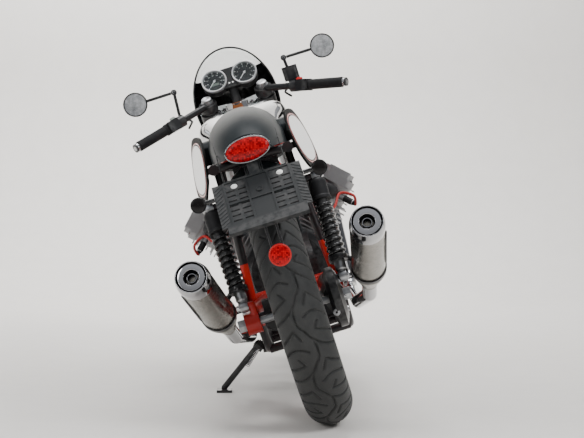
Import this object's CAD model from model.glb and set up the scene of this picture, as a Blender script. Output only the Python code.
import math
import bmesh
import bpy
import numpy as np
from mathutils import Matrix, Vector
from mathutils.bvhtree import BVHTree


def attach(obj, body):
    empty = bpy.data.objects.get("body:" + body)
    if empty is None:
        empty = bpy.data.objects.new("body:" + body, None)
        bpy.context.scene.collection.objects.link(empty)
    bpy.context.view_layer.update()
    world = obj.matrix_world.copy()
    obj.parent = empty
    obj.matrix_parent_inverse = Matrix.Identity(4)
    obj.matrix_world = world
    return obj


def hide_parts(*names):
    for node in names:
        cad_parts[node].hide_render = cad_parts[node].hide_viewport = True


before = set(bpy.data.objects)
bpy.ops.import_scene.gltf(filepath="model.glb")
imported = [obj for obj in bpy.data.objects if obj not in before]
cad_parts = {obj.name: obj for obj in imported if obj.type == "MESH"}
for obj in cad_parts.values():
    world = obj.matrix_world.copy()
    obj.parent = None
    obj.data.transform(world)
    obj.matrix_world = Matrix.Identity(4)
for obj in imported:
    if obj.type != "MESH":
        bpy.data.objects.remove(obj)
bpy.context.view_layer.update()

# The looks of a parked cafe racer. Pieces are worked out in millimetres on the upright machine,
# whose origin lies under the rear tyre: x to its left, y to the rear and z up. upright() then
# leans them with the machine and shifts them to the frame's origin.

LEAN = math.radians(17.5)
LEAN_HEIGHT = 65
SHIFT = np.array((-236.8, 691.0, 0.0))
LEFT, RIGHT = 1, -1
WORD = {LEFT: "left", RIGHT: "right"}
TURN = 2 * math.pi

REAR_AXLE = np.array((0, 0, 320.0))
FRONT_AXLE = np.array((0, -1449.0, 317.87))
CRANK = np.array((0, -830.0, 372))
RAKE = math.radians(27.8)
FORK_UP = np.array((0, math.sin(RAKE), math.cos(RAKE)))
FORK_BACK = np.array((0, math.cos(RAKE), -math.sin(RAKE)))
X = np.array((1.0, 0, 0))
Y = np.array((0, 1.0, 0))
Z = np.array((0, 0, 1.0))

# The upright machine's directions and heights in the leaned frame, in metres
RISE = (math.sin(LEAN), 0, math.cos(LEAN))
SIDEWAYS = (math.cos(LEAN), 0, -math.sin(LEAN))
RISE_SHIFT = 0.0742
ALONG_SHIFT = 0.691


def upright(points):
    """Turns points about the crown line by the lean, adds the shift, and makes millimetres into metres."""
    points = np.asarray(points, float)
    across, along, up = points[..., 0], points[..., 1], points[..., 2] - LEAN_HEIGHT
    c, s = math.cos(LEAN), math.sin(LEAN)
    leaned = np.stack([c * across + s * up, along, c * up - s * across + LEAN_HEIGHT], -1)
    return (leaned + SHIFT) / 1000


def unit(way):
    way = np.asarray(way, float)
    return way / np.linalg.norm(way)


def axes(way, across=X):
    """Three square directions, the last along way and the first nearest across."""
    third = unit(way)
    first = across - third * np.dot(across, third)
    if np.linalg.norm(first) < 1e-6:
        first = np.cross(third, (0.3, 0.5, 0.8))
    first = unit(first)
    return np.array((first, np.cross(third, first), third))


def sided(point, side):
    return np.asarray(point, float) * (side, 1, 1)


# Camera and lamps

CAMERA_PLACE = (157.7, 4599.4, 734.8)
CAMERA_ANGLES = (-0.78, 2.34, -0.14)


def photo_camera():
    """The photograph's camera: behind the machine at seat height, with a long lens."""
    data = bpy.data.cameras.new("photo_camera")
    data.lens = 106.6
    data.sensor_width = 36
    data.clip_end = 60
    yaw, pitch, roll = (math.radians(a) for a in CAMERA_ANGLES)
    ahead = Vector((math.sin(yaw) * math.cos(pitch), -math.cos(yaw) * math.cos(pitch), -math.sin(pitch)))
    level = ahead.cross(Vector(Z)).normalized()
    rise = level.cross(ahead)
    right = level * math.cos(roll) + rise * math.sin(roll)
    up = rise * math.cos(roll) - level * math.sin(roll)
    item = put("photo_camera", data)
    turn = Matrix((right, up, -ahead)).transposed().to_4x4()
    item.matrix_world = Matrix.Translation(Vector(CAMERA_PLACE) / 1000 + Vector(SHIFT) / 1000) @ turn
    bpy.context.scene.camera = item


def put(name, data):
    """A new object in the scene."""
    item = bpy.data.objects.new(name, data)
    bpy.context.collection.objects.link(item)
    return item


def lamp(name, place, size, power, aim=(0, 0, 0.5), mirrored=False):
    """A rectangular lamp aimed at a point; one that isn't mirrored gives no highlight of its own."""
    data = bpy.data.lights.new(name, "AREA")
    data.shape = "RECTANGLE"
    data.size, data.size_y = size
    data.energy = power
    item = put(name, data)
    item.location = place
    item.rotation_euler = (Vector(aim) - Vector(place)).to_track_quat("-Z", "Y").to_euler()
    item.visible_glossy = mirrored


# Meshes

def grid(points, around=False, along=False, caps=True):
    """Quads over a grid of points. around closes each row on itself and along closes the
    rows on each other; an open pair of end rows is closed by a fan about its middle."""
    points = np.asarray(points, float)
    rows, columns = points.shape[:2]
    index = np.arange(rows * columns).reshape(rows, columns)
    if around:
        index = np.concatenate([index, index[:, :1]], 1)
    if along:
        index = np.concatenate([index, index[:1]], 0)
    quads = np.stack([index[:-1, :-1], index[:-1, 1:], index[1:, 1:], index[1:, :-1]], -1).reshape(-1, 4)
    verts = points.reshape(-1, 3)
    faces = [quads]
    if caps and around and not along:
        ends = np.array([points[0].mean(0), points[-1].mean(0)])
        for row, middle, turn in ((index[0], len(verts), 1), (index[-1], len(verts) + 1, -1)):
            fan = np.stack([np.full(len(row) - 1, middle), row[1:], row[:-1]], -1)
            faces.append(fan[:, ::turn])
        verts = np.concatenate([verts, ends])
    return verts, faces


def joined(forms):
    """Several (vertices, faces) pairs as one."""
    verts, faces, start = [], [], 0
    for points, polygons in forms:
        verts.append(points)
        faces += [group + start for group in polygons]
        start += len(points)
    return np.concatenate(verts), faces


def circle(turn, first, second):
    """Points on the unit circle through first and second: first * cos t + second * sin t."""
    return np.cos(turn)[:, None] * first + np.sin(turn)[:, None] * second


def lathe(outline, origin, way, across=X, steps=48):
    """Corners (radius, height, rounding) of a closed or pole-ended outline, turned about an axis:
    origin + way * height + radius * (cos t, sin t)."""
    outline = rounded(outline)
    first, second, third = axes(way, across)
    ring = circle(TURN * (np.arange(steps) / steps), first, second)
    points = origin + outline[:, None, 1:2] * third + outline[:, None, 0:1] * ring[None]
    closed = outline[0, 0] > 1e-6 and outline[-1, 0] > 1e-6
    return grid(points, around=True, along=closed, caps=not closed)


def rounded(corners, steps=5):
    """An open outline of (a, b, radius) corners with each corner turned by an arc in even steps."""
    corners = [np.asarray(corner, float) for corner in corners]
    points = [corners[0][:2]]
    for before, corner, after in zip(corners, corners[1:], corners[2:]):
        radius = corner[2] if len(corner) > 2 else 0
        if not radius:
            points.append(corner[:2])
            continue
        back, ahead = before[:2] - corner[:2], after[:2] - corner[:2]
        reach = min(radius, 0.49 * np.linalg.norm(back), 0.49 * np.linalg.norm(ahead))
        start, end = corner[:2] + unit(back) * reach, corner[:2] + unit(ahead) * reach
        for share in np.linspace(0, 1, steps + 1):
            points.append((1 - share) ** 2 * start + 2 * share * (1 - share) * corner[:2] + share ** 2 * end)
    points.append(corners[-1][:2])
    return np.array(points)


def curve(points, count):
    """A smooth line through a few points: a Catmull-Rom spline sampled count times."""
    points = np.asarray(points, float)
    ends = np.vstack([2 * points[0] - points[1], points, 2 * points[-1] - points[-2]])
    place = np.linspace(0, len(points) - 1 - 1e-9, count)
    cell = place.astype(int)
    t = (place - cell)[:, None]
    a, b, c, d = (ends[cell + k] for k in range(4))
    return 0.5 * (2 * b + (c - a) * t + (2 * a - 5 * b + 4 * c - d) * t ** 2
        + (3 * b - a - 3 * c + d) * t ** 3)


def tube(path, radius, sides, across=X):
    """A round section carried along a path without twisting."""
    path = np.asarray(path, float)
    ways = np.gradient(path, axis=0)
    ways /= np.linalg.norm(ways, axis=1)[:, None]
    first = axes(ways[0], across)[0]
    turn = TURN * np.arange(sides) / sides
    rings = []
    for place, way in zip(path, ways):
        first = unit(first - way * np.dot(first, way))
        rings.append(place + radius * circle(turn, first, np.cross(way, first)))
    return grid(np.array(rings), around=True)


def coil(origin, way, start, end, radius, turns, steps):
    """A spring's middle line: origin + way * h + radius * (cos t, sin t), with h growing evenly."""
    first, second, third = axes(way)
    turn = np.linspace(0, TURN * turns, turns * steps + 1)
    height = start + (end - start) * turn / turn[-1]
    return origin + third * height[:, None] + radius * circle(turn, first, second)


def oval(width, height, steps=48, power=2.0):
    """A superellipse: |x / a| ^ power + |y / b| ^ power = 1, as (x, y) points."""
    turn = TURN * np.arange(steps) / steps
    c, s = np.cos(turn), np.sin(turn)
    return np.stack([width / 2 * np.sign(c) * np.abs(c) ** (2 / power),
        height / 2 * np.sign(s) * np.abs(s) ** (2 / power)], -1)


def stack(levels, origin, way, across=X):
    """A closed solid through outlines (points, height, scale) piled along an axis."""
    first, second, third = axes(way, across)
    rings = [origin + third * height + (outline[:, :1] * first + outline[:, 1:2] * second) * scale
        for outline, height, scale in levels]
    return grid(np.array(rings), around=True)


def slab(outline, thickness, origin, way, across, edge):
    """An outline given a thickness, with its rims rounded by a small edge."""
    outline = np.asarray(outline, float)
    middle = outline.mean(0)
    reach = np.abs(outline - middle).max(0)
    inner = middle + (outline - middle) * (1 - edge / reach)
    levels = [(inner, 0), (outline, edge), (outline, thickness - edge), (inner, thickness)]
    return stack([(points, height, 1) for points, height in levels], origin, way, across)


def band(outline, section, origin, way):
    """A closed section (outwards, height) carried round a closed outline: outline + normal * outwards,
    the normal square to the line between each point's neighbours."""
    outline, section = np.asarray(outline, float), np.asarray(section, float)
    first, second, third = axes(way)
    run = np.roll(outline, -1, 0) - np.roll(outline, 1, 0)
    normal = np.stack([run[:, 1], -run[:, 0]], -1) / np.linalg.norm(run, axis=1)[:, None]
    place = outline[:, None] + normal[:, None] * section[None, :, 0:1]
    points = origin + place[..., 0:1] * first + place[..., 1:2] * second + section[None, :, 1:2] * third
    return grid(points, around=True, along=True)


PILLOW_RINGS = 22


def pillow(outline, rise, origin, way, base, ribs, pitch):
    """A dome over an outline: height = base + rise * sqrt(1 - s^2) + ribs * cos(2 pi x / pitch), s from
    0 in the middle to 1 at the rim, on a flat back."""
    first, second, third = axes(way)
    share = np.sin(np.linspace(0, math.pi / 2, PILLOW_RINGS))[1:]
    flat = outline[None] * share[:, None, None]
    height = base + rise * np.sqrt(np.clip(1 - share ** 2, 0, 1))[:, None]
    height = height + ribs * (1 - share[:, None] ** 8) * np.cos(TURN * flat[..., 0] / pitch)
    points = origin + flat[..., 0:1] * first + flat[..., 1:2] * second + height[..., None] * third
    back = origin + outline[:, 0:1] * first + outline[:, 1:2] * second
    return grid(np.concatenate([points, back[None]]), around=True)


def hexagon(radius):
    turn = math.pi / 3 * np.arange(6)
    return radius * np.stack([np.cos(turn), np.sin(turn)], -1)


def bolt(origin, way, radius):
    """A hexagon head with a chamfered top on a round washer."""
    head = hexagon(radius)
    washer = [(0, 0), (radius * 1.35, 0), (radius * 1.35, radius * 0.25), (0, radius * 0.25)]
    levels = [(head, radius * 0.2, 1), (head, radius * 0.9, 1), (head, radius * 1.1, 0.86)]
    return [lathe(washer, origin, way, steps=20), stack(levels, origin, way)]


def read_points(mesh):
    flat = np.empty(len(mesh.vertices) * 3)
    mesh.vertices.foreach_get("co", flat)
    return flat.reshape(-1, 3)


def write_points(mesh, points):
    mesh.vertices.foreach_set("co", points.ravel())
    mesh.update()


def all_smooth(mesh):
    mesh.polygons.foreach_set("use_smooth", np.ones(len(mesh.polygons), bool))


def lettered(text, size, origin, first, second):
    """Plain numerals as a thin raised form, from the built-in typeface."""
    data = bpy.data.curves.new("mark", "FONT")
    data.body, data.size, data.extrude = text, size, 0.15
    data.align_x, data.align_y = "CENTER", "CENTER"
    data.resolution_u = 2
    item = bpy.data.objects.new("mark", data)
    mesh = bpy.data.meshes.new_from_object(item)
    flat = read_points(mesh)
    faces = [np.array([list(polygon.vertices)]) for polygon in mesh.polygons]
    bpy.data.objects.remove(item)
    bpy.data.curves.remove(data)
    bpy.data.meshes.remove(mesh)
    third = np.cross(first, second)
    return origin + flat[:, 0:1] * first + flat[:, 1:2] * second + flat[:, 2:3] * third, faces


def piece(name, forms, material, body="chassis", replaces=(), smooth=35):
    """Makes one mesh object of the given forms, with outward faces and hard edges over an angle.
    Its slot is its material's usual one unless another is given."""
    verts, faces = joined(forms if isinstance(forms, list) else [forms])
    mesh = bpy.data.meshes.new(name)
    mesh.from_pydata(upright(verts).tolist(), [], [face for group in faces for face in group.tolist()])
    work = bmesh.new()
    work.from_mesh(mesh)
    bmesh.ops.remove_doubles(work, verts=work.verts, dist=1e-6)
    bmesh.ops.dissolve_degenerate(work, edges=work.edges, dist=1e-7)
    bmesh.ops.recalc_face_normals(work, faces=work.faces)
    work.to_mesh(mesh)
    work.free()
    all_smooth(mesh)
    mesh.set_sharp_from_angle(angle=math.radians(smooth))
    mesh.materials.append(material)
    item = put(name, mesh)
    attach(item, body)
    if replaces:
        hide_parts(*replaces)
    return item


# Materials

def add(tree, kind, values=None, **settings):
    """A shader node with its settings and the values of its inputs, by name or number."""
    made = tree.nodes.new("ShaderNode" + kind)
    for name, value in settings.items():
        setattr(made, name, value)
    for name, value in (values or {}).items():
        if isinstance(value, bpy.types.NodeSocket):
            tree.links.new(value, made.inputs[name])
        else:
            made.inputs[name].default_value = value
    return made


def effect(name, inputs, outputs, build):
    """A shader node group with named inputs and outputs, made once."""
    tree = bpy.data.node_groups.new(name, "ShaderNodeTree")
    for label, value in inputs.items():
        kind = "NodeSocketVector" if isinstance(value, tuple) else "NodeSocketFloat"
        tree.interface.new_socket(label, in_out="INPUT", socket_type=kind).default_value = value
    for label in outputs:
        tree.interface.new_socket(label, in_out="OUTPUT", socket_type="NodeSocketFloat")
    source, sink = tree.nodes.new("NodeGroupInput"), tree.nodes.new("NodeGroupOutput")
    build(tree, source.outputs, sink.inputs)
    return tree


def noise(tree, where, scale, detail=3.0, roughness=0.55):
    return add(tree, "TexNoise", {"Vector": where, "Scale": scale, "Detail": detail,
        "Roughness": roughness}).outputs["Fac"]


def maths(tree, operation, first, second=0.0, third=0.0):
    return add(tree, "Math", {0: first, 1: second, 2: third}, operation=operation).outputs[0]


def vectors(tree, operation, first, second=(0, 0, 0)):
    made = add(tree, "VectorMath", {0: first, 1: second}, operation=operation)
    return made.outputs["Value" if operation == "DOT_PRODUCT" else 0]


def split(tree, vector):
    return add(tree, "SeparateXYZ", {0: vector}).outputs


def spread(tree, value, low, high):
    """0 where the value is low, 1 where it is high, and held between them."""
    return add(tree, "MapRange", {"Value": value, "From Min": low, "From Max": high}).outputs["Result"]


def here(tree):
    return add(tree, "TexCoord").outputs["Object"]


def grime_group(tree, given, sent):
    """Patches of noise times finer noise, cut at a level that follows Amount."""
    where = here(tree)
    broad = noise(tree, where, given["Scale"], 4)
    fine = noise(tree, where, maths(tree, "MULTIPLY", given["Scale"], 9.0), 2)
    mixed = maths(tree, "MULTIPLY_ADD", fine, 0.45, maths(tree, "MULTIPLY", broad, 0.55))
    tree.links.new(maths(tree, "MULTIPLY", spread(tree, mixed, 0.4, 0.68), given["Amount"]), sent["Mask"])


def wear_group(tree, given, sent):
    """Convex edges from the geometry's pointiness, broken up by noise."""
    edge = spread(tree, add(tree, "NewGeometry").outputs["Pointiness"], 0.505, 0.56)
    rub = spread(tree, noise(tree, here(tree), 60.0), 0.35, 0.6)
    mask = maths(tree, "MULTIPLY", maths(tree, "MULTIPLY", edge, rub), given["Amount"])
    tree.links.new(mask, sent["Mask"])


def grain_group(tree, given, sent):
    """Noise drawn out by the stretch vector, for brushing, casting and pressed texture."""
    value = noise(tree, vectors(tree, "MULTIPLY", here(tree), given["Stretch"]), given["Scale"], 5, 0.6)
    tree.links.new(value, sent["Height"])
    tree.links.new(spread(tree, value, 0.3, 0.7), sent["Mask"])


EVEN = (1.0, 1.0, 1.0)
GRIME = effect("grime", {"Scale": 8.0, "Amount": 1.0}, ["Mask"], grime_group)
WEAR = effect("edge_wear", {"Amount": 1.0}, ["Mask"], wear_group)
GRAIN = effect("grain", {"Scale": 400.0, "Stretch": EVEN}, ["Height", "Mask"], grain_group)


def use(tree, group, **values):
    return add(tree, "Group", values, node_tree=group).outputs


def blend(tree, mask, first, second):
    """Colour first where the mask is 0 and second where it is 1. One number is a neutral grey."""
    made = add(tree, "Mix", {0: mask}, data_type="RGBA")
    for socket, value in zip(made.inputs[6:8], (first, second)):
        if isinstance(value, bpy.types.NodeSocket):
            tree.links.new(value, socket)
        else:
            socket.default_value = (*(value if isinstance(value, tuple) else (value,) * 3), 1)
    return made.outputs[2]


def finish_of(name, colour, rough, metal=0.0, coat=0.0, worn=None, grain=None, grime=0.25, grime_scale=9.0,
        dust=(0.32, 0.30, 0.27), specular=0.5, pattern=None, sheen=0.0):
    """A finish with grime that shifts its colour and roughness, edges worn to another colour,
    a pattern(tree) in place of its colour, and a grain of (scale, roughness, bump, stretch)."""
    material = bpy.data.materials.new(name)
    material.use_nodes = True
    tree = material.node_tree
    shader = tree.nodes["Principled BSDF"]
    for label, value in {"Coat Weight": coat, "Coat Roughness": 0.06, "Specular IOR Level": specular,
            "Sheen Weight": sheen, "Metallic": metal}.items():
        shader.inputs[label].default_value = value
    dirt = use(tree, GRIME, Scale=grime_scale, Amount=grime)["Mask"]
    look = blend(tree, dirt, pattern(tree) if pattern else colour, dust)
    rough_now = maths(tree, "MULTIPLY_ADD", dirt, 0.35, rough)
    if grain:
        scale, scatter, bump, stretch = (*grain, EVEN)[:4]
        made = use(tree, GRAIN, Scale=scale, Stretch=stretch)
        rough_now = maths(tree, "MULTIPLY_ADD", made["Mask"], scatter, rough_now)
        raised = add(tree, "Bump", {"Strength": bump, "Distance": 0.0006, "Height": made["Height"]})
        tree.links.new(raised.outputs["Normal"], shader.inputs["Normal"])
    if worn:
        look = blend(tree, use(tree, WEAR, Amount=1.0)["Mask"], look, worn)
    tree.links.new(look, shader.inputs["Base Color"])
    tree.links.new(rough_now, shader.inputs["Roughness"])
    return material


def frame_colours(tree):
    """Red, but black behind the seat, on the lower cradle and round the final drive, in frame metres."""
    where = here(tree)
    height, across = (vectors(tree, "DOT_PRODUCT", where, way) for way in (RISE, SIDEWAYS))
    back = split(tree, where)["Y"]
    tail = maths(tree, "MULTIPLY", spread(tree, height, 0.376, 0.378), spread(tree, back, 0.26, 0.262))
    cradle = spread(tree, height, 0.186, 0.184)
    drive = maths(tree, "MULTIPLY", spread(tree, across, -0.305, -0.307), spread(tree, back, 0.33, 0.332))
    black = maths(tree, "MAXIMUM", tail, maths(tree, "MAXIMUM", cradle, drive))
    return blend(tree, black, (0.45, 0.016, 0.010), (0.010, 0.010, 0.011))


def lens_cells(first, second, third):
    """A lens colour in square cells: chosen by white noise on the cell, darker along the cell lines."""
    def pattern(tree):
        where = vectors(tree, "MULTIPLY", here(tree), (230.0, 0.0, 230.0))
        cell = vectors(tree, "FLOOR", where)
        within = split(tree, vectors(tree, "FRACTION", where))
        pick = add(tree, "TexWhiteNoise", {"Vector": cell}).outputs["Value"]
        line = maths(tree, "MAXIMUM", *(spread(tree, within[axis], 0.82, 0.95) for axis in "XZ"))
        look = blend(tree, pick, first, second)
        return blend(tree, maths(tree, "MULTIPLY", line, 0.6), look, third)
    return pattern


def screen_material():
    """Clear acrylic, faintly smoked."""
    material = finish_of("clear_acrylic", (0.86, 0.89, 0.9), 0.03, grime=0.06, specular=0.6)
    shader = material.node_tree.nodes["Principled BSDF"]
    shader.inputs["Transmission Weight"].default_value = 1.0
    shader.inputs["IOR"].default_value = 1.2
    return material


def lens_material(name, colour, glow=0.0, pattern=None):
    """Ribbed coloured plastic, lit a little from inside by its own reflector."""
    material = finish_of(name, colour, 0.14, coat=0.1, grime=0.04, grain=(260, 0.08, 0.4), specular=0.25,
        dust=tuple(share * 0.5 for share in colour), pattern=pattern)
    tree = material.node_tree
    shader = tree.nodes["Principled BSDF"]
    tree.links.new(shader.inputs["Base Color"].links[0].from_socket, shader.inputs["Emission Color"])
    shader.inputs["Emission Strength"].default_value = glow
    return material


DARK_DUST = (0.045, 0.043, 0.040)

black_paint = finish_of("satin_black_paint", (0.007, 0.007, 0.008), 0.28, coat=0.2, worn=0.04, grime=0.10,
    grain=(900, 0.08, 0.06), dust=DARK_DUST, specular=0.35)
matt_black = finish_of("matt_black_paint", 0.006, 0.5, grain=(900, 0.08, 0.1), grime=0.10, dust=DARK_DUST,
    specular=0.08)
gloss_black = finish_of("gloss_black_paint", (0.004, 0.004, 0.005), 0.12, coat=0.6, worn=0.03, grime=0.08,
    grain=(900, 0.05, 0.02), dust=DARK_DUST)
black_plastic = finish_of("moulded_black_plastic", (0.009, 0.009, 0.010), 0.46, worn=0.04, grime=0.14,
    grain=(1500, 0.12, 0.25), dust=DARK_DUST, specular=0.3)
plate_plastic = finish_of("grey_plate_plastic", (0.021, 0.023, 0.024), 0.44, worn=0.05, grime=0.04,
    grain=(1500, 0.12, 0.2), dust=0.03, specular=0.12)
red_paint = finish_of("red_frame_paint", (0.42, 0.018, 0.012), 0.30, coat=0.15, grain=(500, 0.05, 0.03),
    grime=0.12, dust=(0.12, 0.010, 0.008), pattern=frame_colours, specular=0.35)
red_enamel = finish_of("red_enamel", (0.45, 0.010, 0.008), 0.2, coat=0.4, grain=(600, 0.05, 0.02), grime=0.08,
    dust=(0.2, 0.02, 0.02))
graphite_paint = finish_of("graphite_tail_paint", (0.021, 0.025, 0.027), 0.30, specular=0.05, grime=0.08,
    grain=(2600, 0.06, 0.03), dust=(0.03, 0.032, 0.032))
chrome = finish_of("polished_chrome", (0.54, 0.54, 0.55), 0.05, metal=1.0, grime=0.05, grime_scale=14.0,
    grain=(700, 0.03, 0.01), dust=(0.35, 0.34, 0.32))
satin_chrome = finish_of("satin_chrome", (0.80, 0.80, 0.81), 0.28, metal=0.8, grime=0.08,
    grain=(800, 0.06, 0.03), dust=(0.4, 0.4, 0.39))
stainless = finish_of("brushed_stainless", (0.30, 0.285, 0.25), 0.14, metal=1.0,
    grain=(90, 0.16, 0.08, (14.0, 0.35, 14.0)), dust=(0.17, 0.15, 0.115))
alloy = finish_of("brushed_alloy", (0.42, 0.43, 0.44), 0.28, metal=1.0, worn=(0.65, 0.65, 0.66),
    grain=(500, 0.15, 0.08, (1.0, 1.0, 6.0)), dust=(0.14, 0.13, 0.12))
cast_grey = finish_of("cast_engine_grey", (0.34, 0.34, 0.345), 0.36, metal=0.85, worn=(0.46, 0.46, 0.47),
    grain=(1100, 0.16, 0.35), grime=0.18, dust=(0.22, 0.21, 0.20))
cast_black = finish_of("cast_black_alloy", (0.012, 0.012, 0.013), 0.38, metal=0.3, worn=0.06, grime=0.12,
    grain=(1100, 0.14, 0.4), grime_scale=4.0, dust=(0.026, 0.024, 0.022), specular=0.35)
disc_steel = finish_of("ground_disc_steel", (0.46, 0.46, 0.47), 0.28, metal=1.0, grime=0.15,
    grain=(160, 0.2, 0.12, (1.0, 5.0, 5.0)))
grip_rubber = finish_of("ribbed_grip_rubber", (0.008, 0.008, 0.009), 0.60, grime=0.2, dust=DARK_DUST,
    grain=(420, 0.15, 0.8, (9.0, 1.0, 1.0)), specular=0.3)
tyre_rubber = finish_of("tyre_rubber", (0.020, 0.021, 0.021), 0.46, grime=0.55, grime_scale=5.0,
    dust=(0.052, 0.052, 0.050), grain=(900, 0.16, 0.35), specular=0.4)
white_enamel = finish_of("white_panel_enamel", (0.86, 0.86, 0.85), 0.2, coat=0.5, grime=0.10,
    dust=(0.7, 0.69, 0.66), grain=(600, 0.05, 0.02))
seat_suede = finish_of("seat_suede", (0.016, 0.015, 0.014), 0.78, sheen=0.25, grime=0.3,
    dust=(0.04, 0.036, 0.033), grain=(1300, 0.15, 0.7))
clear_acrylic = screen_material()
red_lens = lens_material("red_lens_plastic", (0.34, 0.001, 0.004), 0.10,
    lens_cells((0.14, 0.0005, 0.002), (0.52, 0.001, 0.005), (0.05, 0.0, 0.001)))
smoked_lens = lens_material("smoked_lens_plastic", (0.006, 0.005, 0.005))
mirror_glass = finish_of("mirror_glass", (0.62, 0.63, 0.64), 0.04, metal=0.45, grime=1.0, grime_scale=11.0,
    dust=(0.13, 0.14, 0.15))
core_black = finish_of("sooty_core_black", 0.002, 0.8, grime=0.2, dust=0.006, specular=0.1)
dial_white = finish_of("dial_white", (0.85, 0.85, 0.82), 0.4, grime=0.03)
dial_black = finish_of("dial_black", (0.022, 0.023, 0.024), 0.5, grime=0.05, dust=DARK_DUST, specular=0.3)
display_grey = finish_of("display_grey", (0.20, 0.23, 0.20), 0.25, coat=0.5, grime=0.04, dust=0.1)
red_rubber = finish_of("red_lead_rubber", (0.38, 0.018, 0.014), 0.42, grime=0.15, dust=(0.12, 0.04, 0.03))
tan_leather = finish_of("tan_strap_leather", (0.16, 0.055, 0.018), 0.6, grime=0.2, dust=(0.10, 0.04, 0.02),
    grain=(700, 0.15, 0.3), specular=0.15)

# The nodes whose own mesh is seen, by the material that it wears
NODE_FINISH = {
    black_paint: "controls_left controls_right mirror_left mirror_right yokes side_stand stand_bracket "
        "clip_ons final_drive front_caliper rear_caliper reflector rearset_left rearset_right",
    matt_black: "number_panels",
    gloss_black: "cowl front_fender rear_signals",
    black_plastic: "gauges intake",
    plate_plastic: "plate_holder",
    red_paint: "frame swingarm",
    graphite_paint: "tail_cowl rear_fender",
    chrome: "fuel_tank exhaust_pipes headlight",
    stainless: "silencer_left silencer_right",
    alloy: "fork rear_axle shock_left shock_right",
    cast_grey: "cylinder_left cylinder_right",
    cast_black: "front_wheel rear_wheel engine",
    disc_steel: "front_disc rear_disc",
    grip_rubber: "grips",
    tyre_rubber: "front_tyre rear_tyre",
    red_lens: "tail_light",
    seat_suede: "seat",
    clear_acrylic: "windscreen",
}
for material, names in NODE_FINISH.items():
    for name in names.split():
        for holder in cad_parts[name].material_slots:
            holder.material = material


# Tyres

TREAD_PITCHES = 11
TREAD_STEP = 2.4
GROOVE_DEPTH = 4.5
GROOVE_REACH = 3.5
GROOVE_SLOPE = 1.6
# Grooves as (share of the half width, share of a pitch)
SWEEP = ((-0.15, 0.32), (-0.17, 0.55), (-0.02, 0.67), (0.12, 0.79), (0.41, 0.92), (0.86, 1.02))
BOW = ((0.82, 0.54), (0.60, 0.46), (0.43, 0.42), (0.25, 0.42), (0.07, 0.47))
LONG_HOOK = ((0.78, 0.33), (0.31, 0.14), (0.165, 0.29))
SHORT_HOOK = ((0.85, 0.80), (0.26, 0.67), (0.40, 0.57))


def groove_distance(across, around, line):
    """The shortest distance from each point of the tread to a groove's middle line, in mm."""
    best = np.full(across.shape, np.inf)
    for start, end in zip(line[:-1], line[1:]):
        run = end - start
        share = ((across - start[0]) * run[0] + (around - start[1]) * run[1]) / (run @ run)
        share = np.clip(share, 0, 1)
        best = np.minimum(best, np.hypot(across - start[0] - share * run[0],
            around - start[1] - share * run[1]))
    return best


def tread_depth(across, around, half, length):
    """Grooves with sloped walls. Each side has the same four lines in every pitch, and the
    right side's are half a pitch on."""
    pitch = length / TREAD_PITCHES
    depth = np.zeros(across.shape)
    for side in (LEFT, RIGHT):
        place = np.mod(-around + (0 if side == LEFT else pitch / 2), pitch)
        for corners, bent in ((SWEEP, True), (BOW, True), (LONG_HOOK, False), (SHORT_HOOK, False)):
            line = np.array(corners) * (half, pitch)
            if bent:
                line = curve(line, 18)
            for lap in (-pitch, 0, pitch):
                away = groove_distance(across * side, place + lap, line)
                depth = np.maximum(depth, GROOVE_DEPTH * np.clip((GROOVE_REACH - away) / GROOVE_SLOPE, 0, 1))
    return depth


def tyre(end, axle, radius, width, rim, bead):
    """A section of crown arc, shoulders and sidewalls, turned about the axle. The tread's depth
    is taken off along the radius of the crown arc."""
    crown = width / 2
    half = crown * math.pi / 2 * 0.96
    steps_round = int(TURN * radius / TREAD_STEP)
    swing = np.linspace(-math.pi / 2, math.pi / 2, int(2 * half / TREAD_STEP))
    out = np.stack([np.cos(swing), np.sin(swing)], -1)
    wall = rounded([(rim, bead / 2), (rim + 6, bead / 2 + 6, 6), (rim + 14, bead / 2 + 3, 5),
        (radius - crown - 8, crown - 1.5, 18), (radius - crown, crown)], 3)[:-1]
    rows = np.concatenate([wall * (1, -1), (radius - crown, 0) + crown * out, wall[::-1]])
    turn = TURN * np.arange(steps_round) / steps_round
    around = np.broadcast_to(turn * radius, (len(swing), steps_round))
    across = np.broadcast_to((swing * crown)[:, None], around.shape)
    tread = slice(len(wall), len(wall) + len(swing))
    sunk = np.zeros((len(rows), steps_round, 2))
    sunk[tread] = tread_depth(across, around, half, TURN * radius)[..., None] * out[:, None]
    place = rows[:, None] - sunk
    points = axle + place[..., 1:] * X + place[..., :1] * circle(turn, Y, Z)[None]
    return piece(end + "_tyre_tread", grid(points, around=True, along=True), tyre_rubber, end + "_wheel",
        [end + "_tyre"], smooth=50)


tyre("rear", REAR_AXLE, 320, 130, 222, 92)
tyre("front", FRONT_AXLE, 318.6, 100, 234, 66)


# Tail: lamp, panels, plate holder, signals, reflector

TAIL_LAMP = np.array((0, 215.4, 765.0))
REFLECTOR = np.array((0, 403.0, 496))
PLATE_TOP = np.array((0, 232.0, 696.0))
PLATE_WAY = unit((0, 161.0, -125.0))
PLATE_OUT = np.cross(X, PLATE_WAY)
RIM_SECTION = rounded([(-1.8, 0), (-1.8, -5, 2), (1.8, -5, 2), (1.8, 4, 1.6), (-1.8, 4, 1.6), (-1.8, 0)],
    4)[:-1]
# The plate's middle column and its side columns, between their distances from the middle
COLUMN_HALF = 17
COLUMN_NEAR, COLUMN_FAR = 22, 83


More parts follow.
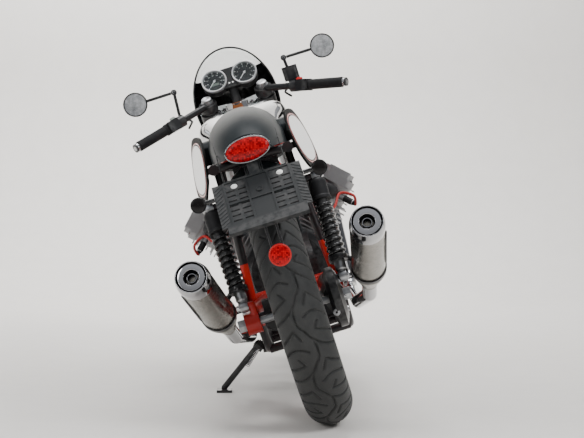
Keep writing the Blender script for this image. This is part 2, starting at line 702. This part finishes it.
def tail_lamp():
    """A black shell, a chrome rim carried round an oval, a fluted domed lens and a bent bracket."""
    shell = [(oval(110, 56), 0, 1), (oval(115, 61), 3, 1), (oval(117, 63), 17, 1)]
    piece("tail_lamp_shell", stack(shell, TAIL_LAMP, Y), black_plastic)
    piece("tail_lamp_rim", band(oval(116, 62, 96), RIM_SECTION, TAIL_LAMP + Y * 21, Y), chrome)
    piece("tail_lamp_lens", pillow(oval(112.4, 58.4, 144), 11, TAIL_LAMP + Y * 19, Y, 4, 0.35, 8.0), red_lens,
        replaces=["tail_light"])
    path = curve([(0, 228, 742), (0, 231, 722), (0, 232.5, 702), (0, 246, 689)], 24)
    section = [X * a + np.array((0, b, b * 0.4)) for a, b in ((-14, -1), (14, -1), (14, 1), (-14, 1))]
    piece("tail_lamp_bracket", grid(path[:, None] + np.array(section), around=True), plate_plastic)


def number_panel(side):
    """White over red over the black board, each an oval a little smaller and a little proud."""
    tilt, yaw = math.radians(10), math.radians(9)
    out = unit((side * math.cos(tilt) * math.cos(yaw), math.sin(yaw), math.sin(tilt)))
    middle = np.array((145.0 * side, -150, 751))
    layers = (("stripe", 268, 150, 2.4, red_enamel), ("line", 259, 141, 2.8, matt_black),
        ("field", 253, 135, 3.2, white_enamel))
    for label, width, height, lift, finish in layers:
        form = slab(oval(width, height, 96, 2.35), 1.2, middle + out * lift, out, Y, 0.3)
        piece("panel_%s_%s" % (label, WORD[side]), form, finish)


def on_plate(across, down, up):
    return PLATE_TOP + X * across + PLATE_WAY * down + PLATE_OUT * up


def beading(near, far, top, foot):
    """A round bead along a rectangle on the plate, its corners turned by arcs."""
    radius, corner = 1.3, 5.0
    line = [np.array((*place, corner)) for place in ((near, top), (far, top), (far, foot), (near, foot))]
    path = rounded([(line[0] + line[-1]) / 2] + line + [(line[0] + line[-1]) / 2], 5)[:-1]
    turn = TURN * np.arange(8) / 8
    section = np.stack([radius * np.cos(turn), radius * np.sin(turn)], -1)
    return band(path, section, on_plate(0, 0, 5.6), PLATE_OUT)


def plate_trim():
    """Two screws with washers, and raised beads round the plate's columns and pockets."""
    screw = [(0, -0.2), (8.4, -0.2), (8.4, 1.2, 0.5), (6.2, 1.4), (6.2, 2.6, 1), (4.6, 4.2, 1.5), (1.4, 4.4),
        (1.2, 3.0), (0, 3.0)]
    piece("plate_screws", [lathe(screw, on_plate(60 * side, 22, 4.4), PLATE_OUT, steps=32)
        for side in (LEFT, RIGHT)], dial_white)
    beads = [beading(-COLUMN_HALF, COLUMN_HALF, *rows) for rows in ((-3, -82), (-87, -160))]
    for near, far in ((COLUMN_NEAR, COLUMN_FAR), (-COLUMN_FAR, -COLUMN_NEAR)):
        beads += [beading(near, far, *rows) for rows in ((-3, -118), (-123, -160))]
    piece("plate_beading", beads, plate_plastic)
    boss = [(0, 0), (8.5, 0), (8.5, 3.4, 1), (6.5, 3.4, 1), (5, 2, 1), (0, 2)]
    piece("plate_boss", lathe(boss, on_plate(0, 62, 4.0), PLATE_OUT, steps=32), plate_plastic)


def signal(side):
    """A lens dome in the bowl's open end and its rim."""
    middle = on_plate(158 * side, 50, 3.5) + Y * 21
    rim = [(17.6, -1), (17.6, 1.5, 0.8), (20.2, 1.5, 0.8), (20.2, -4)]
    piece("signal_lens_" + WORD[side], pillow(oval(36, 36, 60), 4, middle - Y, Y, 1, 0.2, 3.0), smoked_lens)
    piece("signal_rim_" + WORD[side], lathe(rim, middle, Y), gloss_black)


def reflector():
    """A ribbed round lens in a red rim."""
    rim = [(24.2, -0.5), (24.2, 2, 0.8), (27.9, 2, 1), (27.9, -8.2), (26, -8.2)]
    piece("reflector_lens", pillow(oval(49, 49, 72), 1.6, REFLECTOR - Y * 0.5, Y, 1.2, 0.2, 2.6), red_lens)
    piece("reflector_rim", lathe(rim, REFLECTOR, Y), red_enamel)


tail_lamp()
plate_trim()
reflector()
for side in (LEFT, RIGHT):
    number_panel(side)
    signal(side)


# Silencers and shock absorbers

SILENCER_END = np.array((232.0, 270, 503))
SILENCER_WAY = unit((26.0, 462.5, 190))
SILENCER_LENGTH = 500
SHOCK_LOW = (138, 12, 368)
SHOCK_TOP = (150, -96, 642)
SPRING_RADIUS = 21
SPRING_WIRE = 4.4
SPRING_TURNS = 9

# Outlines as (radius, distance from the silencer's mouth into it)
SILENCER_BODY = rounded([
    (0, 0), (24, 0), (24, 8, 4), (45.6, 108, 60), (46.3, 112, 1), (46.3, 120, 1), (45.8, 123, 1),
    (45.8, 440, 1), (46.4, 443, 1), (46.4, 450, 1), (45.9, 453, 1), (45.9, 468), (44.8, 469),
    (44.8, 475), (0, 475)], 4)
SILENCER_CAP = rounded([
    (40, 446), (46.6, 447.5, 1), (46.6, 478, 4), (43.2, 497, 3), (42, 501, 1.5), (39.6, 501, 1.5),
    (38.8, 489, 0.6), (35.8, 489, 0.6), (35.2, 497.4, 1), (21, 498.4, 1), (19.6, 496.5, 1),
    (19.4, 456), (30, 450)], 4)
SILENCER_CORE = rounded([(0, 455), (19.3, 455), (19.3, 495.6), (18.0, 495.6), (17.4, 474, 1), (13.6, 474),
    (13.6, 462), (0, 462)], 3)
SILENCER_LINING = [(9.8, 463), (10.9, 463), (10.9, 488.6), (9.8, 488.6)]
SILENCER_GROOVE = [(35.9, 488), (38.7, 488), (38.7, 490.2), (35.9, 490.2)]
SILENCER_PIPE = rounded([(11.0, 463), (12.8, 463), (12.8, 489, 0.6), (11.0, 489, 0.6)], 3)


def silencer(side):
    """A coned body with rolled seams, a stepped end cap and a dark perforated core."""
    way = unit(sided(SILENCER_WAY, side))
    origin = sided(SILENCER_END, side) - way * SILENCER_LENGTH
    word = WORD[side]
    piece("silencer_body_" + word, lathe(SILENCER_BODY, origin, way, steps=72), stainless,
        replaces=["silencer_" + word])
    piece("silencer_cap_" + word, lathe(SILENCER_CAP, origin, way, steps=72), chrome)
    piece("silencer_core_" + word, [lathe(line, origin, way, steps=64)
        for line in (SILENCER_CORE, SILENCER_GROOVE, SILENCER_LINING)], core_black)
    piece("silencer_pipe_" + word, lathe(SILENCER_PIPE, origin, way, steps=40), chrome)
    out = unit(np.cross(way, np.cross(unit((side, 0, -0.35)), way)))
    piece("silencer_shield_" + word, slab(oval(230, 26, 48, 3.2), 5, origin + way * 300 + out * 44.5, out,
        way, 1.5), black_paint)


def shock(side):
    """A damper between its eyes, a wound spring and its seats, as (radius, distance from the lower eye)."""
    low, top = sided(SHOCK_LOW, side), sided(SHOCK_TOP, side)
    way, length = unit(top - low), np.linalg.norm(top - low)
    word = WORD[side]
    body = rounded([(0, 11), (12, 11), (12, 16, 3), (15.4, 20, 2), (15.4, 49, 2), (14, 50), (14, 150, 2),
        (6, 152), (6, length - 70), (15, length - 68, 2), (15, length - 13, 3), (0, length - 13)], 4)
    eye = [(8.2, -11), (13.6, -11, 1.5), (14.2, -9), (14.2, 9), (13.6, 11, 1.5), (8.2, 11)]
    bush = [(7.4, -11.4), (8.6, -11.4), (8.6, 11.4), (7.4, 11.4)]
    piece("damper_" + word, [lathe(body, low, way), lathe(eye, low, X), lathe(eye, top, X)], alloy,
        replaces=["shock_" + word])
    piece("damper_bushes_" + word, [lathe(bush, end, X) for end in (low, top)], grip_rubber)
    path = coil(low, way, 62, length - 79, SPRING_RADIUS, SPRING_TURNS, 30)
    piece("spring_" + word, tube(path, SPRING_WIRE, 12), gloss_black)
    sleeve = [(14.2, 51), (16.4, 51), (16.4, length - 72), (14.2, length - 72)]
    piece("spring_sleeve_" + word, lathe(sleeve, low, way, steps=32), cast_black)
    notched = oval(52, 52, 48) * np.tile((1.0, 1.0, 0.94, 0.94), 12)[:, None]
    seat = [(15.6, 48.4), (26.6, 48.4, 1), (26.6, 57.4, 2), (16.6, 57.4)]
    piece("spring_collars_" + word, [stack([(notched, 43, 1), (notched, 48, 1)], low, way),
        lathe(seat, low, way)], black_paint)
    shroud = rounded([(16.6, length - 73.6), (26.8, length - 73.6, 2), (26.8, length - 66, 2),
        (24.6, length - 63, 3), (24.6, length - 20, 5), (20, length - 12, 5), (12, length - 11)], 4)
    piece("spring_shroud_" + word, lathe(shroud, low, way), black_plastic)
    piece("damper_nuts_" + word, [form for end in (low, top)
        for form in bolt(end + X * side * 11.2, X * side, 9)], chrome)


for side in (LEFT, RIGHT):
    silencer(side)
    shock(side)


# Instruments

GAUGE_MIDDLE = np.array((0, -1127.0, 1018))
GAUGE_SPREAD = 52.0
GAUGE_OUT = np.array((0, math.cos(math.radians(30)), math.sin(math.radians(30))))
DIAL_RIGHT = -X
DIAL_UP = np.cross(GAUGE_OUT, DIAL_RIGHT)
# A dial runs from its first mark, in degrees from the right, through its sweep to the last
DIAL_START, DIAL_SWEEP, DIAL_TICKS, LONG_EVERY = 225, 270, 40, 5
NEEDLE_ANGLE = 228


def dial_way(angle):
    return math.cos(angle) * DIAL_RIGHT + math.sin(angle) * DIAL_UP


def bar_mark(origin, angle, start, end, width, height):
    """A thin raised bar that runs outwards from a dial's middle."""
    way = dial_way(angle)
    wide = np.cross(GAUGE_OUT, way) * width / 2
    corners = [origin + way * a + wide * b for a, b in ((start, -1), (end, -1), (end, 1), (start, 1))]
    return grid(np.array([corners, [corner + GAUGE_OUT * height for corner in corners]]), around=True)


def dial(side, numerals):
    """A recessed face with ticks over three quarters of a turn, numerals, a needle and a glass."""
    front = GAUGE_MIDDLE + X * GAUGE_SPREAD * side
    word = WORD[side]
    bezel = rounded([(37.4, -5.6), (37.4, -0.6, 1), (39.4, 1.8, 1.5), (41.2, 1.8, 1.5), (42.6, -1, 2),
        (42.6, -9, 1), (41, -9)], 4)
    piece("gauge_bezel_" + word, lathe(bezel, front, GAUGE_OUT, steps=72), satin_chrome, "steering")
    face = front - GAUGE_OUT * 5.7
    card = [(0, 0), (37.5, 0), (37.5, 0.8), (29, 0.9), (28.6, 0.5), (0, 0.5)]
    piece("gauge_face_" + word, lathe(card, face, GAUGE_OUT, steps=72), dial_black, "steering")
    top = face + GAUGE_OUT * 0.7
    marks = []
    for index in range(DIAL_TICKS + 1):
        angle = math.radians(DIAL_START - DIAL_SWEEP * index / DIAL_TICKS)
        start, width = (34, 0.5) if index % LONG_EVERY else (30, 1.9)
        marks.append(bar_mark(top, angle, start, 35.6, width, 0.5))
    for index, text in enumerate(numerals):
        angle = math.radians(DIAL_START - DIAL_SWEEP * index / (len(numerals) - 1))
        marks.append(lettered(text, 5.6 if len(text) < 3 else 4.8, top + 23.5 * dial_way(angle), DIAL_RIGHT,
            DIAL_UP))
    piece("gauge_marks_" + word, marks, dial_white, "steering")
    blade = np.array([(-6, -1.5), (27, -0.9), (27, 0.9), (-6, 1.5)], float)
    hub = [(0, 0), (4, 0), (4, 2.4, 1), (0, 2.8)]
    piece("gauge_needle_" + word, [
        slab(blade, 0.8, top + GAUGE_OUT * 1.4, GAUGE_OUT, dial_way(math.radians(NEEDLE_ANGLE)), 0.15),
        lathe(hub, top, GAUGE_OUT, steps=24)], dial_white, "steering")
    if side == LEFT:
        piece("gauge_display", slab(oval(26, 9, 40, 6), 0.7, top - DIAL_UP * 13, GAUGE_OUT, DIAL_RIGHT, 0.2),
            display_grey, "steering")
    glass = rounded([(0, 0.9), (36.4, 0.1), (36.4, -0.6), (0, 0.2)], 3)
    piece("gauge_glass_" + word, lathe(glass, front, GAUGE_OUT, steps=60), clear_acrylic, "steering")


def warning_lamps():
    """Two small lamps in a textured panel that fills the space between the instruments."""
    panel = slab(oval(150, 78, 64, 2.8), 9, GAUGE_MIDDLE - GAUGE_OUT * 16 + DIAL_UP * 0.5, GAUGE_OUT, X, 2.5)
    piece("gauge_panel", panel, black_plastic, "steering")
    dome = [(0, -0.4), (3.4, -0.4), (3.4, 1, 0.6), (0, 2.2)]
    level = GAUGE_MIDDLE - GAUGE_OUT * 7.2 - DIAL_UP * 22
    piece("warning_lamps", [lathe(dome, level + DIAL_RIGHT * across, GAUGE_OUT, steps=24)
        for across in (6, -6)], dial_white, "steering")


dial(LEFT, ("0", "20", "40", "60", "80", "100", "120", "140", "160"))
dial(RIGHT, ("0", "1", "2", "3", "4", "5", "6", "7", "8"))
warning_lamps()


# Bars, mirrors, screen and lamp

BAR_TIP = np.array((344.0, -966, 882))
BAR_RUN = unit((232.0, 128, -59))
PERCH = BAR_TIP - BAR_RUN * 173.6
MIRROR = np.array((322.0, PERCH[1] - 53.2, PERCH[2] + 100.3))
MIRROR_INSET = 6.7
SCREEN_HALF_WIDTH, SCREEN_HALF_HEIGHT = 140, 184
SCREEN_ALONG, SCREEN_HEIGHT = -1150.0, 930
HEAD_LAMP = np.array((0, -1302.0, 835))


def bar_trim(side):
    """The grip's ribs, the bar's end weight, two switches on the pod, and the mirror's glass and rim."""
    tip, run, pod = sided(BAR_TIP, side), sided(BAR_RUN, side), sided(PERCH, side)
    word = WORD[side]
    ribs = [(16.2 + 0.8 * (index % 2), height, 0.5) for index, height in enumerate(np.arange(14, 115, 2.2))]
    sleeve = rounded([(11.4, 0), (19.4, 0, 1), (19.4, 5, 1.5), (17, 10, 2)] + ribs
        + [(16.6, 119.6, 1), (11.4, 119.6)], 2)
    piece("grip_ribs_" + word, lathe(sleeve, tip - run * 120.2, run, Y, 40), grip_rubber, "steering",
        ["grips"])
    weight = rounded([(0, 0.2), (12.6, 0.2), (14.3, 2, 1), (14.3, 10, 3), (9, 14.3, 3), (0, 14.4)], 4)
    piece("bar_end_" + word, lathe(weight, tip, run, Y), chrome, "steering")
    pod = pod + run * 33
    second = axes(run, Y)[1]
    up = second if second[2] > 0 else -second
    back = unit(Y - run * np.dot(Y, run))
    rocker = slab(oval(20, 15, 32, 4), 9, pod + up * 16.4 + back * 5 - run * 12, unit(up + back * 0.5), run,
        1.6)
    button = slab(oval(11, 8, 32, 4), 6, pod + back * 16.2 - up * 6, back, run, 0.8)
    piece("switch_" + word, [rocker, button], red_enamel if side == RIGHT else display_grey, "steering")
    middle = sided(MIRROR, side)
    glass = [(0, -0.4), (36, -0.4), (36, 0.5, 0.3), (0, 0.7)]
    rim = [(35.8, -0.6), (35.8, 1.2, 0.5), (38.5, 2.2, 1), (40.4, 0.5, 1.5), (40.4, -4)]
    piece("mirror_glass_" + word, lathe(glass, middle, Y, steps=64), mirror_glass, "steering")
    piece("mirror_rim_" + word, lathe(rim, middle, Y, steps=64), gloss_black, "steering")
    knuckle = sided((PERCH[0] - MIRROR_INSET, MIRROR[1], MIRROR[2]), side)
    piece("mirror_knuckle_" + word, bolt(knuckle + Y * 8.5, Y, 5), chrome, "steering")


def screen_edge():
    """A beading along the open edge of the screen and the shell: an upright ellipse."""
    turn = np.linspace(-1.94, 1.94, 120)
    path = np.stack([SCREEN_HALF_WIDTH * np.sin(turn), np.full(120, SCREEN_ALONG),
        SCREEN_HEIGHT + SCREEN_HALF_HEIGHT * np.cos(turn)], -1)
    piece("screen_beading", tube(path, 2.2, 10, Y), black_plastic, "steering")


def head_lamp():
    """A chrome rim and a fluted glass."""
    rim = rounded([(76, 6), (78, 9, 1), (84, 9, 2), (88, 3, 3), (88, -9, 2), (86.4, -11)], 4)
    piece("headlight_rim", lathe(rim, HEAD_LAMP, -Y, steps=96), chrome, "steering")
    piece("headlight_lens", pillow(oval(154, 154, 120), 16, HEAD_LAMP - Y * 5, -Y, 3.2, 0.5, 6.0),
        clear_acrylic, "steering")


for side in (LEFT, RIGHT):
    bar_trim(side)
screen_edge()
head_lamp()


# Engine trim, seat, leads and strap

# Outwards from the crankshaft: a barrel's foot, its length, and the rocker cover or the spark plug past it
COVER_REACH = 138.3 + 104 + 66
PLUG_REACH = 138.3 + 104 + 33
COVER_DEPTH = 20
COVER_BOLTS = 46
SEAT_FRONT, SEAT_BACK, SEAT_FOOT = -580, -268, 760
SEAT_SECTIONS, SEAT_STEPS = 40, 48
SWELL_LIMIT = 0.007
CHANNELS = (-0.50, -0.42, -0.34)
CHANNEL_DEPTH, CHANNEL_WIDTH = 0.0045, 0.005
STRAP_FRONT, STRAP_BACK, STRAP_HALF = -985, -600, 17
ABOVE_TANK = 1100.0
# Heights along the fork above the front axle, the steering axis behind its legs, and the bolts ahead of it
CAP_HEIGHT = 733
STEM_TOP = 698.8
PINCH_HEIGHT = 683
FORK_OFFSET = 52
PINCH_AHEAD = 34


def engine_bolts():
    """Bolt heads on the front cover, both rocker covers, the crankcase sides and the final drive."""
    forms = []
    for index in range(8):
        turn = TURN * (index + 0.5) / 8
        forms += bolt(CRANK - Y * 114.8 + 86 * (math.cos(turn) * X + math.sin(turn) * Z), -Y, 5)
    for side in (LEFT, RIGHT):
        out = unit((side, 0, 1))
        second = np.cross(out, Y)
        for a in (-COVER_BOLTS, COVER_BOLTS):
            for b in (-COVER_BOLTS, COVER_BOLTS):
                top = CRANK + out * COVER_REACH + out * COVER_DEPTH
                forms += bolt(top + Y * a + second * b, out, 4.5)
        for along, up in ((-440, 352), (-420, 425)):
            forms += bolt(np.array((149.4 * side, along, up)), X * side, 6)
    for index in range(6):
        turn = TURN * index / 6
        forms += bolt(np.array((-124.0, 46 * math.cos(turn), 320 + 46 * math.sin(turn))), -X, 4.5)
    piece("case_bolts", forms, chrome)


def seat_cushion():
    """A stepped suede cushion: |x / a|^p + |h / b|^p = 1 in section, drawn in at its ends, swollen by
    cloth under pressure, with piping round its lower edge and three pressed channels."""
    along = np.linspace(SEAT_FRONT, SEAT_BACK, SEAT_SECTIONS)
    share = (along - along[0]) / (along[-1] - along[0])
    ends = 2 * np.abs(share - 0.5)
    half = (108 - 26 * (1 - share) ** 2 - 6 * share ** 6) * np.clip(1 - ends ** 14, 0.2, 1) ** 0.5
    top = 797 + 9 * share ** 2 - 22 * ends ** 10
    turn = TURN * np.arange(SEAT_STEPS) / SEAT_STEPS
    c, s = np.cos(turn), np.sin(turn)
    wide = np.sign(c) * np.abs(c) ** 0.55
    tall = np.sign(s) * np.abs(s) ** 0.7
    rows = np.stack([half[:, None] * wide, np.broadcast_to(along[:, None], (SEAT_SECTIONS, SEAT_STEPS)),
        ((SEAT_FOOT + top) / 2)[:, None] + ((top - SEAT_FOOT) / 2)[:, None] * tall], -1)
    item = piece("seat_cushion", grid(rows, around=True), seat_suede, replaces=["seat"])
    swell(item)
    smooth = item.modifiers.new("smooth", "SUBSURF")
    smooth.levels = smooth.render_levels = 1
    press_channels(item)
    rim = np.concatenate([np.stack([half + 1.5, along], -1), np.stack([-half - 1.5, along], -1)[::-1]])
    path = np.concatenate([rim, np.full((len(rim), 1), 766.0)], -1)
    ring = np.concatenate([path, path[:1]])
    piece("seat_piping", tube(curve(ring, 200), 2.4, 10, Z), black_plastic)


def swell(item):
    """Remeshes the piece, blows it up as cloth for 20 frames, and holds every point near its start."""
    bpy.context.view_layer.objects.active = item
    remesh = item.modifiers.new("remesh", "REMESH")
    remesh.mode, remesh.voxel_size = "VOXEL", 0.005
    bpy.ops.object.modifier_apply(modifier="remesh")
    before = read_points(item.data)
    cloth = item.modifiers.new("cloth", "CLOTH")
    cloth.settings.use_pressure = True
    cloth.settings.uniform_pressure_force = 4
    cloth.settings.effector_weights.gravity = 0
    for number in range(1, 21):
        bpy.context.scene.frame_set(number)
    shape = item.evaluated_get(bpy.context.evaluated_depsgraph_get())
    move = read_points(shape.data) - before
    item.modifiers.remove(cloth)
    bpy.context.scene.frame_set(1)
    far = np.linalg.norm(move, axis=1)[:, None]
    write_points(item.data, before + move * np.minimum(1, SWELL_LIMIT / np.maximum(far, 1e-9)))
    all_smooth(item.data)


def press_channels(item):
    """Lowers the points near three lines across the seat: depth * exp(-(distance / width)^2)."""
    places = read_points(item.data)
    height = places @ np.array(RISE) + RISE_SHIFT
    along = places[:, 1] - ALONG_SHIFT
    for line in CHANNELS:
        dip = CHANNEL_DEPTH * np.exp(-((along - line) / CHANNEL_WIDTH) ** 2)
        dip *= np.clip((height - 0.775) / 0.01, 0, 1)
        places -= dip[:, None] * np.array(RISE)
    write_points(item.data, places)


def plug_lead(side):
    """A red lead in an arc from the spark plug's boot back under the tank."""
    foot = CRANK + unit((side, 0, 1)) * PLUG_REACH + Y * 40.8
    way = unit(unit((side, 0, -1)) + Y * 0.4)
    end = foot + way * 82
    line = curve([end - way * 4, end + way * 12 + Y * 4, end + sided((8, 34, 22), side),
        end + sided((-30, 30, 40), side), sided((190, -690, 520), side), sided((150, -690, 500), side)], 60)
    boot = [(0, -30), (10, -30), (10.4, -26, 1), (10.4, -4, 2), (6.4, 6, 2), (6.4, 14, 1), (0, 14)]
    piece("plug_lead_" + WORD[side], tube(line, 4.2, 12), red_rubber)
    piece("plug_boot_" + WORD[side], lathe(boot, end, way), black_plastic)


def tank_strap():
    """A band laid over the tank along its middle line, each point dropped on the skin."""
    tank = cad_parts["fuel_tank"]
    tree = BVHTree.FromObject(tank, bpy.context.evaluated_depsgraph_get())
    down = Vector(upright((0, 0, 0)) - upright((0, 0, 1000.0))).normalized()
    turned = tank.matrix_world.inverted()
    along, across = np.meshgrid(np.linspace(STRAP_FRONT, STRAP_BACK, 60),
        np.linspace(-STRAP_HALF, STRAP_HALF, 9), indexing="ij")
    top = np.empty(along.shape)
    for index in np.ndindex(along.shape):
        start = Vector(upright((across[index], along[index], ABOVE_TANK)))
        hit = tree.ray_cast(turned @ start, turned.to_3x3() @ down)[0]
        top[index] = ABOVE_TANK - 1000 * ((tank.matrix_world @ hit) - start).length
    edge = 1.6 * np.sqrt(np.clip(1 - (across / (STRAP_HALF + 0.2)) ** 6, 0, 1))
    upper = np.stack([across, along, top + 0.6 + edge], -1)
    lower = np.stack([across, along, top - 0.5], -1)
    piece("tank_strap", grid(np.concatenate([upper, lower[:, ::-1]], 1), around=True), tan_leather)


def yoke_trim():
    """Domed caps on the fork legs, the steering nut and the pinch bolts."""
    disc = [(0, 0), (15.8, 0), (15.8, 2, 1), (12.6, 3.2, 1), (10.4, 3.2, 0.5), (9.6, 1.6), (5.5, 1.4),
        (5.1, 3), (0, 3)]
    top = FRONT_AXLE + FORK_UP * CAP_HEIGHT
    piece("fork_caps", [lathe(disc, top + X * 95 * side, FORK_UP) for side in (LEFT, RIGHT)], satin_chrome,
        "steering")
    stem = FRONT_AXLE + FORK_BACK * FORK_OFFSET
    nut = stem + FORK_UP * STEM_TOP
    head = hexagon(17.5)
    dome = [(0, 9), (11, 9), (11, 11.5, 1), (8, 12.5, 1), (6, 11), (0, 11)]
    piece("steering_nut", [stack([(head, 0, 1), (head, 8, 1), (head, 9.5, 0.88)], nut, FORK_UP),
        lathe(dome, nut, FORK_UP)], satin_chrome, "steering")
    clamp = stem + FORK_UP * PINCH_HEIGHT - FORK_BACK * PINCH_AHEAD
    pinch = [form for side in (LEFT, RIGHT) for across in (48, 66)
        for form in bolt(clamp + X * across * side, FORK_UP, 5.5)]
    piece("yoke_bolts", pinch, chrome, "steering")


def stand_trim():
    """The stand's pull-back spring and the lug on the final drive."""
    low, high = np.array((212.0, -590, 150)), np.array((150.0, -560, 205))
    way, length = unit(high - low), np.linalg.norm(high - low)
    path = coil(low + 14 * axes(way)[1], way, 8, length - 8, 5, 14, 16)
    piece("stand_spring", tube(path, 1.3, 8), chrome, "side_stand")
    lug = [(3.4, 0), (9.4, 0), (9.4, 5, 1), (3.4, 5, 1)]
    piece("drive_lug", lathe(lug, np.array((-92.0, 71, 287)), Y, steps=36), alloy)


seat_cushion()
engine_bolts()
tank_strap()
yoke_trim()
stand_trim()
for side in (LEFT, RIGHT):
    plug_lead(side)


# Stage

def floor():
    """A pale floor that turns up into a backdrop ahead of the machine, open to a camera behind it."""
    bend = np.linspace(0, math.pi / 2, 16)
    profile = [(9.0, 0)] + [(-3.0 - 1.2 * math.sin(a), 1.2 - 1.2 * math.cos(a)) for a in bend] + [(-4.2, 6.0)]
    points = np.array([[(x, y, z) for x in (-9, 9)] for y, z in profile])
    material = bpy.data.materials.new("pale_floor")
    material.use_nodes = True
    tree = material.node_tree
    shader = tree.nodes["Principled BSDF"]
    shader.inputs["Roughness"].default_value = 0.55
    patches = use(tree, GRIME, Scale=1.4, Amount=0.5)["Mask"]
    tree.links.new(blend(tree, patches, (0.66, 0.64, 0.61), (0.60, 0.58, 0.55)), shader.inputs["Base Color"])
    behind = maths(tree, "MULTIPLY", add(tree, "NewGeometry").outputs["Backfacing"],
        add(tree, "LightPath").outputs["Is Camera Ray"])
    mixed = add(tree, "MixShader", {0: behind, 1: shader.outputs[0],
        2: add(tree, "BsdfTransparent").outputs[0]})
    tree.links.new(mixed.outputs[0], tree.nodes["Material Output"].inputs["Surface"])
    verts, faces = grid(points)
    mesh = bpy.data.meshes.new("floor")
    mesh.from_pydata(verts.tolist(), [], faces[0][:, ::-1].tolist())
    all_smooth(mesh)
    mesh.materials.append(material)
    put("floor", mesh)


def studio():
    """A sky that is dark at the horizon and bright overhead, pale to the camera itself, and soft lamps."""
    world = bpy.data.worlds.new("studio")
    bpy.context.scene.world = world
    world.use_nodes = True
    tree = world.node_tree
    rise = split(tree, add(tree, "TexCoord").outputs["Generated"])["Z"]
    sky = blend(tree, spread(tree, rise, -0.1, 0.75), (0.05, 0.052, 0.056), (0.85, 0.87, 0.92))
    seen = add(tree, "LightPath").outputs["Is Camera Ray"]
    tree.links.new(blend(tree, seen, sky, (1.0, 0.99, 0.97)), tree.nodes["Background"].inputs["Color"])
    tree.nodes["Background"].inputs["Strength"].default_value = 0.6
    lamp("key_light", (-2.6, 3.2, 3.4), (2.2, 1.4), 170)
    lamp("fill_light", (3.4, 2.4, 2.0), (1.2, 2.2), 80)
    lamp("top_light", (0, -0.4, 4.2), (2.6, 1.6), 110, mirrored=True)
    lamp("strip_left", (2.6, 3.4, 2.2), (0.3, 2.4), 20, mirrored=True)
    lamp("strip_right", (-2.8, 3.2, 2.0), (0.3, 2.4), 20, mirrored=True)
    lamp("front_light", (0.6, -2.6, 3.4), (3.4, 1.6), 260, (0, -4.2, 1.4))


photo_camera()
floor()
studio()
